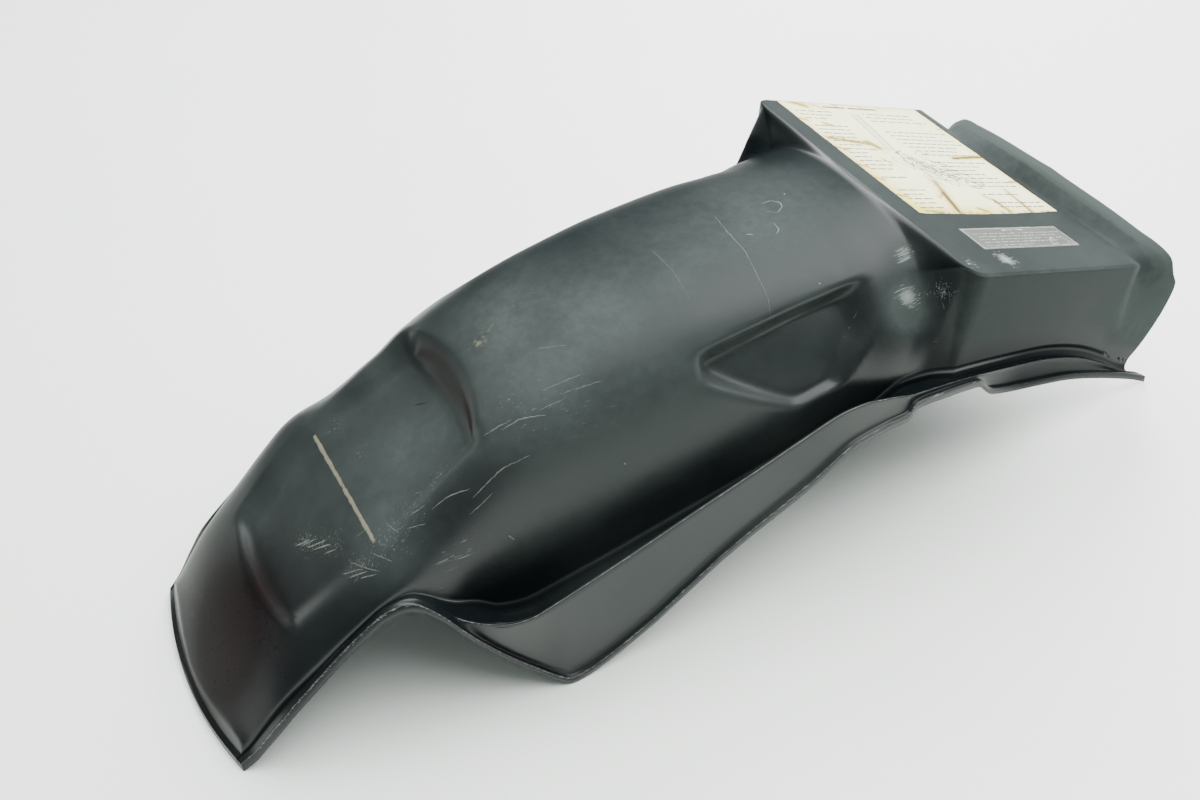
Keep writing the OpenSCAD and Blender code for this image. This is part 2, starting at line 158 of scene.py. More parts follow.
# half widths of the arch's foot and the pad, lean of the side, bow of the cross lines with its reach
footLine = [
    [0, tailHalf - 6], [56, tailHalf], [humpX, tailHalf + 4.6], [132, 75], [175, 78],
    [256, s["archHalf"] - 14], [340, s["archHalf"] - 7.5], [boxX - 46, s["archHalf"] - 3],
    [boxX - 21, s["archHalf"]], [boxX + 4, s["boxHalf"]],
]
leanLine = [[0, 1], [humpX, 2], [256, 4], [boxX - 6, 6], [boxX + 24, 2]]
bowLine = [
    [0, -s["tailBow"]], [40, -8], [70, -3], [ridgeX, 0], [140, 3], [175, 9], [215, 4], [260, 0],
]
bowHalfLine = [
    [0, tailHalf], [40, 45], [70, 40], [ridgeX, 46], [140, 42], [175, 41], [215, 50],
]
padHalfLine = [[51, 33], [ridgeX, 43], [169, 36.5], [190, 36]]
# how far the mouth's edge lies before the flange's tip, over its height
mouthLine = [
    [20, -24], [29.5, -20.5], [37.5, -16], [50, -10.5], [65.5, -6.2], [74, -4.9], [82, -4.4], [90, -5.4],
    [98, -8], [106, -12.4],
]
# half width and height of the rim's outer line, over the place t across the shell
rimHalfLine = [
    [0, 0], [0.4, 81], [0.45, 91], [0.475, 95.6], [0.5, 99.4], [0.52, 101.6], [0.55, 103.3], [0.6, 104.3],
    [1, 104.5],
]
rimHeightLine = [
    [0, 128.6], [0.2, 125.8], [0.4, 118.6], [0.45, 114.6], [0.475, 111.6], [0.5, 107.4], [0.52, 103.6],
    [0.55, 98.3], [0.6, 90.2], [1, 26],
]
# how far the mouth's edge lies before the flange's tip below the arch, over the corners counted by v
lowEndLine = [[0, -22], [3, -22], [4, -21], [5, -14], [6, -6], [7, -0.5], [8, 0]]
# places of the closed tail's corners between the arch's foot and the ledge
tailShare = [0, 0.25, 0.42, 0.58, 0.74, 0.88]
rounding = np.array([0, 6, 5, 1.3, 1.6, 12, 1.5, 1.0, 0.0])  # reach of each corner's round, in mm
# columns below the arch, as v from the lip up to the arch's foot
lowSteps = [
    8, 7.5, 7.15, 7, 6.85, 6.5, 6.2, 6.1, 6, 5.9, 5.7, 5.25, 5, 4.75, 4.3, 4.15, 4, 3.85, 3.6, 3.3, 3.15,
    3, 2.85, 2.5, 2.25, 2.1, 1.9, 1.6, 1.25, 1.0, 0.75, 0.5, 0.25,
]
# sides of the pocket: a point on each as x and a, its inward way in x and a, and its slope's width
pocketSides = [
    (318, 75.5, 0.045, 1, 14), (407, 0, -1, 0, 22), (404, 102, -0.74, -0.67, 10),
    (350, 134, -0.05, -1, 5), (292, 97.5, 0.58, -0.81, 8), (286, 0, 1, 0, 12),
]


def cornerPoints(x):
    # corners of half a section below the arch, as arrays (corner, row, column, 2): arch foot, the two
    # sides of the gutter, the two edges of the crest, the panel's middle, the ledge, the lip
    lip, out = along(lipLine, x), along(flangeLine, x)
    ledgeZ = lip + s["lip"]
    ledge = np.stack([out - s["ledge"] - mix(1.4, 0, ease(100, 130, x)), ledgeZ], -1)
    crease = np.stack([along(creaseOutLine, x), along(creaseLine, x)], -1)
    floorZ = crease[..., 1] - along(gutterLine, x)
    footX = along(footLine, x)
    panel = ease(120, 146, x)[..., None]
    shut = ease(boxX - 56, boxX - 4, x)
    narrow = shut[..., None]
    rise = ease(108, 150, x)
    footZ = mix(mix(ledgeZ + 2.5, floorZ + 7, rise), crease[..., 1] + 7, shut)
    foot = np.stack([footX, footZ], -1)
    inner = mix(np.stack([footX + 2, floorZ], -1),
                np.stack([footX + 0.3, crease[..., 1] + 2], -1), narrow)
    outerX = mix(footX + 2.5, crease[..., 0] - s["crest"] - 3.2, 0.65)
    outer = mix(np.stack([outerX, floorZ], -1),
                np.stack([footX + 0.9, crease[..., 1] + 0.2], -1), narrow)
    crest = np.stack([crease[..., 0] - s["crest"], crease[..., 1] - 0.9], -1)
    hollow = 2 * ease(boxX - 66, boxX - 21, x) * np.clip((crease[..., 1] - ledgeZ) / 20, 0, 1)
    panelMiddle = mix(crease, ledge, 0.55) - np.stack([hollow, 0 * x], -1)
    full = [foot, inner, outer, crest, crease, panelMiddle]
    closed = [np.stack([mix(footX, ledge[..., 0], u ** 1.3), mix(ledgeZ, footZ, (1 - u) ** 1.6)], -1)
              for u in tailShare]
    corners = [foot] + [mix(a, b, panel) for a, b in zip(closed[1:], full[1:])]
    lean = mix(2.2, 0.5, ease(100, 130, x))
    return np.stack(corners + [ledge, np.stack([out - lean, ledgeZ], -1), np.stack([out, lip], -1)])


def lowerSection(x, v):
    # v counts the corners; each corner is rounded by a parabola between points on its two sides
    p = cornerPoints(x)
    last = len(p) - 1
    k = np.clip(np.floor(v + 0.5).astype(int), 0, last)
    a, c, b = [np.take_along_axis(p, np.clip(n, 0, last)[None, ..., None], 0)[0]
               for n in (k - 1, k, k + 1)]
    la = np.linalg.norm(a - c, axis=-1) + 1e-9
    lb = np.linalg.norm(b - c, axis=-1) + 1e-9
    r = np.minimum(rounding[k], 0.42 * np.minimum(np.where(k > 0, la, 1e9), np.where(k < last, lb, 1e9)))
    start = np.where((k > 0)[..., None], c + (a - c) * (r / la)[..., None], c)
    end = np.where((k < last)[..., None], c + (b - c) * (r / lb)[..., None], c)
    f = v - k
    u = np.clip((f + 0.25) / 0.5, 0, 1)[..., None]
    bend = (1 - u) ** 2 * start + 2 * u * (1 - u) * c + u * u * end
    bend = mix(bend, (a + c) / 2, np.clip((-0.25 - f) / 0.25, 0, 1)[..., None])
    return mix(bend, (b + c) / 2, np.clip((f - 0.25) / 0.25, 0, 1)[..., None])


def boxTop(x):
    # the top falls from the rear edge by the way in x times the tangent of its slope
    return boxHeight - (x - boxX) * math.tan(boxSlope)


def upperSection(x, t):
    # a superellipse over the wheel, which turns into the box's flat top and steep side beyond boxX
    foot = cornerPoints(x)[0]
    footX, footZ = foot[..., 0], foot[..., 1]
    n, lean = along(fullnessLine, x), along(leanLine, x)
    top = along(crownLine, np.minimum(x, boxX + 5))
    sine, cosine = np.abs(np.sin(t * math.pi / 2)), np.abs(np.cos(t * math.pi / 2))
    r = (sine ** n + cosine ** n) ** (-1 / n)
    archX = (footX - lean) * sine * r + lean * (1 - cosine * r)
    archZ = footZ + (top - footZ) * cosine * r
    q = np.clip(x - boxX, 0, s["boxCorner"])
    half = s["boxHalf"] - s["boxCorner"] + np.sqrt(
        np.maximum(s["boxCorner"] ** 2 - (s["boxCorner"] - q) ** 2, 0))
    topZ = boxTop(x)
    side = np.clip((t - edgeT) / (1 - edgeT), 0, 1)
    flatX, flatZ = half * np.minimum(t / edgeT, 1), topZ
    sideX, sideZ = mix(half, footX, side), mix(topZ, footZ, side)
    over = (half - flatX) - (topZ - sideZ)  # signed way from the edge: + on the top, - on the side
    u = np.clip(0.5 - over / (2 * s["boxEdge"]), 0, 1)
    roundX = (1 - u) ** 2 * (half - s["boxEdge"]) + 2 * u * (1 - u) * half + u * u * half
    roundZ = (1 - u) ** 2 * topZ + 2 * u * (1 - u) * topZ + u * u * (topZ - s["boxEdge"])
    near = np.abs(over) < s["boxEdge"]
    squareX = np.where(near, roundX, np.where(over > 0, flatX, sideX))
    squareZ = np.where(near, roundZ, np.where(over > 0, flatZ, sideZ))
    # the box's rear wall leans: it starts from the arch low down and ends at the box's own edge
    rearZ = mix(boxHeight, footZ, side)
    start = boxX - 5 - s["boxLean"] * (boxHeight - archZ) - 8 * side
    end = boxX + 1 - s["boxLean"] * (boxHeight - rearZ)
    share = ease(0, 1, (x - start) / (end - start))
    return mix(archX, squareX, share), mix(archZ, squareZ, share)


def section(x, t, v):
    # half width and height at x: the part below the arch where v is over 0, else the arch or the box
    upX, upZ = upperSection(x, t)
    low = lowerSection(x, v)
    return np.where(v > 0, low[..., 0], upX), np.where(v > 0, low[..., 1], upZ)


def padShares(x, y):
    # how far a place lies inside the pad: across, towards its front step and towards its back step
    # (each step bulges with 1 minus the square of y over the half width)
    away, half = x - ridgeX, along(padHalfLine, x)
    bulge = np.clip(1 - (y / (half + 2)) ** 2, 0, 1)
    front = 1 - ease(0, 1, (away - s["frontStep"]) / (3 + 9.5 * bulge))
    back = 1 - ease(0, 1, (-away - s["backStep"]) / (3 + 7.5 * bulge))
    return 1 - ease(half - 3, half + 17, y), front, back


def padCut(x, y, z):
    # two flats that meet in a ridge across the crown, sunk below it, with soft slopes at their sides
    # and a crescent step at each end
    away = x - ridgeX
    flat = s["padHeight"] + np.where(away > 0, away * s["padRise"], away * s["padFall"])
    side, front, back = padShares(x, y)
    return z - np.maximum(0, z - flat) * side * front * back


def pocketDent(x, t):
    # each side is a straight line in x and a, which runs down the arch in mm: reach is how far a point
    # lies inside all of them, softly, as a share of each side's own slope; the dent fades low down
    a = s["archRun"] * t
    soft = 6
    ways = [((x - x0) * wayX + (a - a0) * wayA) / width for x0, a0, wayX, wayA, width in pocketSides]
    reach = -np.log(sum(np.exp(-soft * np.clip(way, -2, 4)) for way in ways)) / soft
    return (s["pocket"] - s["pocketFade"] * np.maximum(0, a - s["pocketFull"])) * ease(0, 1, reach)


def bodyPoints(step, t, v, side):
    # step is x in mm, or -3..0 on the tail's own lip and ledge; the tail's bow moves x by a parabola
    # over y, and the pocket moves the side inwards and down
    tailStep = np.clip(step, -3, 0)
    x0 = np.where(step < 0, np.interp(tailStep, [-3, -2, -1, 0], [0, 0.6, s["ledge"], 2 * s["ledge"]]),
                  np.where(step < 12, 2 * s["ledge"] + step / 3, step))
    y0, _ = section(x0, t, v)
    x = x0 + along(bowLine, x0) * np.clip(1 - (y0 / along(bowHalfLine, x0)) ** 2, 0, 1)
    y, z = section(x, t, v)
    edge = (y / tailHalf) ** 2
    cap = np.interp(step, [-3, -2, -1, 0], [0, s["lip"], s["lip"] + 0.9, s["lip"] + 8])
    cap = cap + np.interp(step, [-3, -2, -1, 0], [0, 0.5, 3, 8]) * edge
    z = np.where(step < 0, np.minimum(z, cap), z)
    dent = np.where((side < 0) & (v == 0), pocketDent(x, t), 0)
    return x, side * (y - s["pocketIn"] * dent), padCut(x, y, z) - s["pocketDown"] * dent


def frontPoints(k, t, v, side):
    # k runs 0..6 from the box's front edge over the valley and the rim to the end of the lip: each
    # point is mixed from the box's edge, the valley's floor and the rim's outer line by shares over k;
    # the valley turns down the side with the rim and fades out there; w is the way across the top in
    # mm, and q is the share of the way down the side
    stops = [0, 1, 2, 3, 4, 5, 6]
    share = np.interp(k, stops, [0, 0.18, 0.45, 0.72, 0.86, 0.96, 1])
    w = s["rimCorner"] * np.minimum(t / edgeT, 1)
    q = np.clip((t - edgeT) / (1 - edgeT), 0, 1)
    bow = s["rimBow"] * (w / s["rimCorner"]) ** 2 + s["cornerBow"] * ease(edgeT - 0.14, edgeT, t)
    rimEnd = s["valleyWidth"] + s["rim"]
    rimWays = [0, 3, 6.5, s["valleyWidth"], rimEnd, rimEnd + s["rimLip"] - 2, rimEnd + s["rimLip"]]
    rimX = along(list(zip(stops, rimWays)), k)
    lipTop = 1 - ease(edgeT - 0.16, edgeT, t)
    shrink = s["lipShrink"] * (1 - lipTop)
    rimX = rimX + bow * ease(0, 3, k) - shrink * np.maximum(0, rimX - rimEnd)
    outX = along(rimHalfLine, t)
    outZ = along(rimHeightLine, t) - side * s["rimTwist"] * w / s["rimCorner"] * (1 - q)
    start = np.full_like(t, boxEndX)
    startX, startZ = section(start, t, v)
    top = 1 - ease(edgeT, edgeT + 0.12, t)
    topReach = boxEndX + rimEnd + s["rimLip"] * (1 - shrink) + bow
    reach = np.where(t <= edgeT, topReach, endX + along(mouthLine, outZ))
    x = mix(mix(boxEndX, reach, share), boxEndX + rimX, top)
    # the valley's floor between the box's edge and the rim, as half width and height
    floorX = mix(startX, outX, 0.4) - 6 * ease(edgeT - 0.08, edgeT, t) * (1 - ease(0.1, 0.75, q))
    floorZ = mix(startZ - s["valley"], outZ - 6, ease(60, s["rimCorner"], w))
    floorZ = mix(floorZ, mix(startZ, outZ, 0.5), ease(0, 0.5, q))
    toFloor = along([[0, 0], [1, 0.85], [2, 1]], k)
    sideRim = along([[0, 0], [1, 0.05], [2, 0.25], [3, 0.65], [4, 0.9], [5, 1]], k)
    toRim = mix(sideRim, ease(1.9, 3.1, k), top)
    drop = along([[3, 0], [4, 0], [5, 3.2], [6, 11]], k) * lipTop
    y = mix(mix(startX, floorX, toFloor), outX, toRim)
    z = mix(mix(startZ, floorZ, toFloor), outZ, toRim) - drop
    wallX, wallZ = section(x, t, 0 * v)
    foot = ease(0.7, 1, q)
    y, z = mix(y, wallX, foot), mix(z, wallZ, foot)
    lowX = mix(boxEndX, endX + along(lowEndLine, v), share)
    lowY, lowZ = section(lowX, t, v)
    isLow = v > 0
    return np.where(isLow, lowX, x), side * np.where(isLow, lowY, y), np.where(isLow, lowZ, z)


def spread(stops, counts):
    # even steps between the stops, as one row
    parts = [np.linspace(a, b, n, endpoint=False) for a, b, n in zip(stops, stops[1:], counts)]
    return np.concatenate(parts + [[stops[-1]]])


def shellGrid():
    # rows run from the tail to the mouth, and columns from the far lip over the crown to the near one
    tail = spread([-3, -2.2, -1.8, -1.2, -0.8, 0], [3, 4, 3, 4, 4])[:-1]
    body = spread([0, 40, 64, 95, 102.5, 105.5, 120, 190, 410, 436, 452, 462, 485, boxEndX],
                  [12, 10, 9, 3, 3, 5, 24, 54, 9, 14, 4, 11, 18])
    front = spread([0, 1, 2, 3, 4, 5, 6], [3, 3, 4, 3, 4, 4])[1:]
    frontMark = 1000  # added to the front's steps, to tell them from x
    steps = np.concatenate([tail, body, frontMark + front])
    nearEdge = edgeT + np.array([-0.03, -0.02, -0.012, -0.006, 0.006, 0.014, 0.026, 0.04])
    archT = np.unique(np.round(np.concatenate([np.linspace(0, 1, 66), nearEdge]), 5))
    halfT = np.concatenate([np.ones(len(lowSteps)), archT[::-1]])
    halfV = np.concatenate([lowSteps, np.zeros(len(archT))])
    t = np.concatenate([halfT, halfT[-2::-1]])
    v = np.concatenate([halfV, halfV[-2::-1]])
    side = np.concatenate([np.ones(len(halfT)), -np.ones(len(halfT) - 1)])
    isFront = steps > frontMark
    grids = []
    for rows, maker in ((steps[~isFront], bodyPoints), (steps[isFront] - frontMark, frontPoints)):
        a, b = np.meshgrid(rows, np.arange(len(t)), indexing="ij")
        grids.append(np.stack(maker(a, t[b], v[b], side[b]), -1))
    return np.concatenate(grids), t, v


# worn places and places of painted light, each as x, y, z, radius and strength; a negative strength keeps
# a place clean
wearAndLight = {
    "bloomAndPaintedLight": [
        (95, 0, 95, 50, 0.5), (145, -5, 130, 40, 0.85), (205, -5, 178, 40, 0.5), (250, -35, 182, 55, 0.5),
        (310, -20, 190, 60, 0.5), (380, -5, 192, 60, 0.6), (420, -40, 185, 35, 0.25),
        (228, 15, 180, 40, 0.3), (190, -80, 120, 42, 0.25), (240, -72, 150, 45, 0.32),
        (118, -48, 105, 22, 0.6), (340, -88, 120, 40, 0.12), (230, -110, 70, 60, 0.35),
        (330, -110, 100, 60, 0.35), (640, -104, 85, 42, 0.85), (170, -45, 150, 22, 0.25),
        # the four spots at y 38 to 45 from x 60 to 150 are a painted reflection along the far shoulder
        (203, -50, 163, 24, 0.3), (60, 38, 66, 16, 0.5), (90, 42, 90, 16, 0.5), (120, 45, 112, 16, 0.5),
        # the spots at x 421 to 433 are a painted highlight on the arch beside the box
        (150, 45, 132, 16, 0.45), (423, -78, 159, 13, 1.5), (433, -60, 174, 9, 0.9),
        (421, -88, 149, 12, 0.9), (20, -10, 35, 40, -0.2),
    ],
    "scuffAndHighlight": [
        (76, -6, 84, 13, 0.55), (88, -22, 94, 12, 0.5), (92, -48, 98, 13, 0.5), (112, -50, 106, 14, 0.5),
        (130, -46, 120, 16, 0.45), (150, -42, 134, 14, 0.4), (185, -40, 165, 24, 0.25),
        (205, -55, 160, 26, 0.2), (160, -72, 105, 24, 0.3), (235, -66, 160, 26, 0.25),
        # the spots at x 424 to 439 are a painted highlight on the arch beside the box
        (232, 8, 184, 22, 0.3), (485, -90, 170, 9, 1.2), (452, -92, 182, 6, 0.9), (439, -90, 168, 8, 0.8),
        (434, -99, 138, 6, 0.5), (120, 10, 112, 12, 0.4), (118, 38, 112, 9, 0.6), (424, -78, 160, 9, 1.1),
        (434, -60, 175, 7, 0.95), (60, 20, 70, 16, 0.2), (135, -72, 103, 14, 0.35),
    ],
    "cream": [
        (176, 2, 161, 8, 0.5), (191, 0, 172, 9, 0.6), (204, 6, 178, 12, 0.5), (215, 20, 180, 10, 0.4),
        (176, -26, 158, 5, 0.4), (372, -10, 192, 5, 0.5), (130, -44, 120, 10, 0.25),
    ],
    "matte": [(30, 0, 45, 60, 0.5), (426, -77, 160, 22, 0.8)],
    "ruddyAndShade": [(12, -20, 28, 38, 0.9), (40, -10, 50, 35, 0.5), (20, 30, 40, 40, 0.5)],
}


def spots(points, places):
    # the sum of soft round spots: strength times e to the power of minus distance over radius, squared
    total = np.zeros(points.shape[:-1])
    for x, y, z, radius, strength in places:
        apart = ((points - [x, y, z]) ** 2).sum(-1)
        total = total + strength * np.exp(-apart / radius ** 2)
    return total


def wearAndLightMap(points, t, v):
    # red is grey bloom, with a paler valley, painted highlights on the rim strip and beside the box and a
    # painted reflection on the far shoulder; green is fine scuffing, with painted highlights on the crest,
    # the lip's edge and beside the box; blue is cream dirt, and the fourth is the ruddy tint, which paints
    # shade on the pad's two steps
    x, y, z = points[..., 0], points[..., 1], points[..., 2]
    onBox = (v == 0) * (t <= edgeT + 0.01) * ease(boxEndX + 3, boxEndX, x)
    onBox = onBox * ease(boxX - 2, boxX + 2, x)
    valley = (v == 0) * (t <= edgeT) * ease(boxEndX, boxEndX + 4, x)
    bow = s["rimBow"] * np.minimum(t / edgeT, 1) ** 2
    strip = ease(s["valleyWidth"] - 2.5, s["valleyWidth"] + 0.5, x - boxEndX - bow)
    bloomAndPaintedLight = spots(points, wearAndLight["bloomAndPaintedLight"]) * (1 - onBox) * (1 - valley)
    # the valley is painted paler grey, and its rim strip paler still as a painted highlight
    bloomAndPaintedLight = bloomAndPaintedLight + 0.55 * onBox + (0.85 + 0.6 * strip) * valley
    bloomAndPaintedLight = bloomAndPaintedLight + 0.55 * ease(boxX - 14, boxX + 4, x) * (v == 0) * (t > edgeT) * ease(
        9, 34, z - along(creaseLine, x))
    # pale lines along the gutter's crest and the lip's outer top edge are painted highlights on these
    # edges
    crest = np.exp(-((v - 3.9) / 0.1) ** 2) * ease(112, 135, x) * (x < boxEndX)
    edge = np.exp(-((v - 7.05) / 0.2) ** 2) * (x < boxEndX)
    scuffAndHighlight = spots(points, wearAndLight["scuffAndHighlight"]) + (1.3 * crest + 0.95 * edge) * (1 - 0.4 * ease(stepX, notchX, x))
    ridge = ease(2.1, 0.6, np.abs(x - ridgeX)) * ease(45.5, 43, np.abs(y + 0.5)) * (v == 0)
    cream = spots(points, wearAndLight["cream"]) + 1.05 * ridge
    across, front, back = padShares(x, y)
    within = ease(2, -4, np.abs(y) - along(padHalfLine, x)) * (v == 0)
    # the pad's two steps get the dark ruddy tint and lose their bloom: painted shade on their steep faces
    steps = 4 * across * within * (front * (1 - front) + 0.3 * back * (1 - back))
    ruddyAndShade = spots(points, wearAndLight["ruddyAndShade"]) + steps
    return np.clip(np.stack([bloomAndPaintedLight * (1 - 0.9 * np.clip(steps, 0, 1)), scuffAndHighlight, cream, ruddyAndShade], -1), 0, 1.6)


def matteMap(points, t, v):
    # where the surface has lost its shine: the box's walls and top, the gutter (made as large as the
    # grid by 0 * x), the mouth, the flange's end and the crown
    x, y = points[..., 0], points[..., 1]
    beside = np.where(x < boxX, ease(0.42, 0.5, t), t > edgeT)
    wall = 0.8 * ease(boxX - 30, boxX - 14, x) * (v == 0) * beside
    gutter = 0.9 * (v > 0.5) * (v < 3.7) + 0 * x
    mouth = 0.8 * ease(boxEndX, boxEndX + 5, x) * (v == 0)
    flange = 0.8 * ease(boxX, notchX + 40, x) * (v > 0)
    crown = 0.95 * ease(150, 215, x) * ease(boxX, boxX - 10, x) * ease(-75, 0, y) * (v == 0)
    top = 0.85 * ease(boxX - 3, boxX + 2, x) * (x < boxEndX + 1) * (v == 0) * (t <= edgeT)
    crown = crown + spots(points, wearAndLight["matte"])
    return np.clip(np.maximum.reduce([wall, top, gutter, mouth, flange, crown]), 0, 1)


def paintPoints(piece, name, values):
    # four numbers for each point, which a material reads as an attribute
    layer = piece.data.attributes.new(name, "FLOAT_COLOR", "POINT")
    layer.data.foreach_set("color", values.reshape(-1).astype(np.float32))


def makeShell():
    # the grid is the outside of the skin, and Solidify sets the wall inside it
    points, t, v = shellGrid()
    rows, cols = points.shape[:2]
    place = (points - [middleX, 0, 0]) * mm
    piece = makeMesh("shellMoulding", place, gridFaces(rows, cols))
    paintPoints(piece, "wearAndLight", wearAndLightMap(points, t, v))
    paintPoints(piece, "matte", np.repeat(matteMap(points, t, v)[..., None], 4, -1))
    thick = piece.modifiers.new("wall", "SOLIDIFY")
    thick.thickness = s["wall"] * mm
    thick.offset = -1
    # the wall is thinner in the tight folds at the foot of the box, where its inner face would cross
    folds = piece.vertex_groups.new(name="folds")
    x = points[..., 0]
    tight = (v > 0) * (v < 7) * ease(boxX - 70, boxX - 40, x)
    tight = np.maximum(tight, ease(boxEndX, boxEndX + 20, x) * ((v > 0) | (t > 0.9)))
    share = 1 - s["foldThin"] * tight.ravel()
    for level in np.unique(np.round(share, 2)):
        folds.add(np.flatnonzero(np.abs(share - level) < 0.005).tolist(), float(level), "REPLACE")
    thick.vertex_group = "folds"
    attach(piece, "root")
    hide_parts("fender")
    print("shell", rows, "rows", cols, "columns")
    return piece


# scratches as thin raised strips on the shell

# each is its points as x and signed place across (- is the near side), its width in mm and its tone,
# where 0 is dark and 1 is pale
scratches = [
    ([(346, 0.04), (344, -0.08), (344, -0.196), (341, -0.315), (340, -0.406), (336, -0.475)], 0.3, 0.35),
    ([(299, -0.01), (300, -0.16), (298, -0.31)], 0.2, 0.3),
    ([(376, 0.014), (383, 0.018), (387, -0.012), (386, -0.037), (380, -0.064), (374, -0.037)], 0.5, 0.3),
    ([(372, -0.11), (372, -0.15), (368, -0.17)], 0.5, 0.4),
    ([(396, -0.575), (390, -0.63), (384, -0.667)], 0.3, 0.5), ([(236, -0.68), (237, -0.69)], 0.7, 0.6),
    ([(394, 0.032), (395, 0.03)], 0.8, 0.7), ([(374, -0.416), (375, -0.42)], 0.8, 0.7),
    ([(352, -0.12), (356, -0.14)], 0.6, 0.4), ([(150, 0.087), (155, 0.046)], 0.8, 0.0),
    ([(98, -0.279), (104, -0.297)], 0.4, 0.4), ([(113, -0.333), (116, -0.443)], 0.5, 0.3),
    ([(90, -0.361), (95, -0.479), (100, -0.562)], 0.5, 0.4), ([(73, -0.02), (80, -0.07)], 0.9, 0.5),
    ([(75, -0.05), (83, -0.1)], 0.8, 0.45), ([(77, -0.09), (86, -0.15)], 0.9, 0.5),
    ([(79, -0.13), (87, -0.19)], 0.8, 0.5), ([(82, -0.2), (88, -0.24)], 0.8, 0.4),
    ([(84, -0.38), (93, -0.46)], 0.6, 0.45), ([(86, -0.44), (95, -0.5)], 0.7, 0.45),
    ([(90, -0.5), (98, -0.56)], 0.6, 0.4), ([(120, -0.918), (127, -0.88), (134, -0.845)], 0.2, 0.4),
    ([(100, -0.42), (107, -0.56)], 0.4, 0.35), ([(179, -0.393), (190, -0.402), (202, -0.434)], 0.6, 0.45),
    ([(170, -0.37), (186, -0.385)], 0.5, 0.4), ([(154, -0.516), (172, -0.493), (188, -0.511)], 0.6, 0.4),
    ([(150, -0.56), (165, -0.54)], 0.5, 0.35), ([(134, -0.457), (144, -0.461), (155, -0.484)], 0.6, 0.45),
    ([(167, -0.694), (170, -0.721)], 0.8, 0.5), ([(124, -0.4), (133, -0.42)], 0.5, 0.4),
    ([(120, -0.45), (129, -0.49)], 0.5, 0.4), ([(205, -0.36), (228, -0.38)], 0.4, 0.4),
    ([(200, -0.41), (215, -0.42)], 0.4, 0.4), ([(212, -0.4), (236, -0.43)], 0.4, 0.35),
    ([(210, -0.2), (226, -0.26)], 0.3, 0.3), ([(420, -0.47), (427, -0.476), (434, -0.489)], 0.4, 0.05),
    ([(438, -0.55), (437, -0.575)], 0.3, 0.4), ([(437, -0.59), (437, -0.616), (436, -0.64)], 0.3, 0.45),
    ([(436, -0.65), (436, -0.69)], 0.3, 0.4), ([(439, -0.6), (438, -0.66)], 0.3, 0.35),
]
# height over the shell, distance between points and the run down the arch for a whole t, in mm
scratchSize = {"lift": 0.07, "spacing": 1.5, "run": 150, "seed": 5}


def onShell(x, place):
    # points of the shell's outside at x and the signed place across
    side = np.where(place < 0, -1.0, 1.0)
    return np.stack(bodyPoints(x, np.abs(place), np.zeros(len(x)), side), -1)


def makeScratches():
    # along a scratch the strip's half width is the sine of the way along it, raised to the power 0.4
    d = scratchSize
    rng = np.random.default_rng(d["seed"])
    points, faces, tones = [], [], []
    for path, width, tone in scratches:
        path = np.array(path, float)
        strides = np.hypot(np.diff(path[:, 0]), d["run"] * np.diff(path[:, 1]))
        stride = np.concatenate([[0], np.cumsum(strides)])
        n = max(4, int(stride[-1] / d["spacing"]))
        q = np.linspace(0, 1, n)
        x = np.interp(q * stride[-1], stride, path[:, 0]) + rng.normal(0, 0.12, n)
        place = np.interp(q * stride[-1], stride, path[:, 1]) + rng.normal(0, 0.0008, n)
        middle = onShell(x, place)
        out = np.cross(onShell(x + 0.5, place) - onShell(x - 0.5, place),
                       onShell(x, place + 0.003) - onShell(x, place - 0.003))
        out = out / np.linalg.norm(out, axis=1)[:, None]
        out = out * np.where((out * (middle - [middle[:, 0].mean(), 0, 0])).sum(1) < 0, -1, 1)[:, None]
        ahead = np.gradient(middle, axis=0)
        across = np.cross(out, ahead)
        across = across / np.linalg.norm(across, axis=1)[:, None]
        half = (width / 2 * (0.12 + np.sin(math.pi * q) ** 0.4) * rng.uniform(0.7, 1.15, n))[:, None]
        first = len(points) * 2
        raised = middle + out * d["lift"]
        for left, right in zip(raised + across * half, raised - across * half):
            points.append((left, right))
            tones.append((tone, tone))
        faces += [(k, k + 1, k + 3, k + 2) for k in range(first, first + 2 * (n - 1), 2)]
    place = (np.array(points).reshape(-1, 3) - [middleX, 0, 0]) * mm
    piece = makeMesh("shellScratches", place, np.array(faces))
    paintPoints(piece, "tone", np.repeat(np.array(tones).reshape(-1, 1), 4, 1))
    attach(piece, "root")
    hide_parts("fender")
    print("scratches", len(scratches))
    return piece


# the two stickers

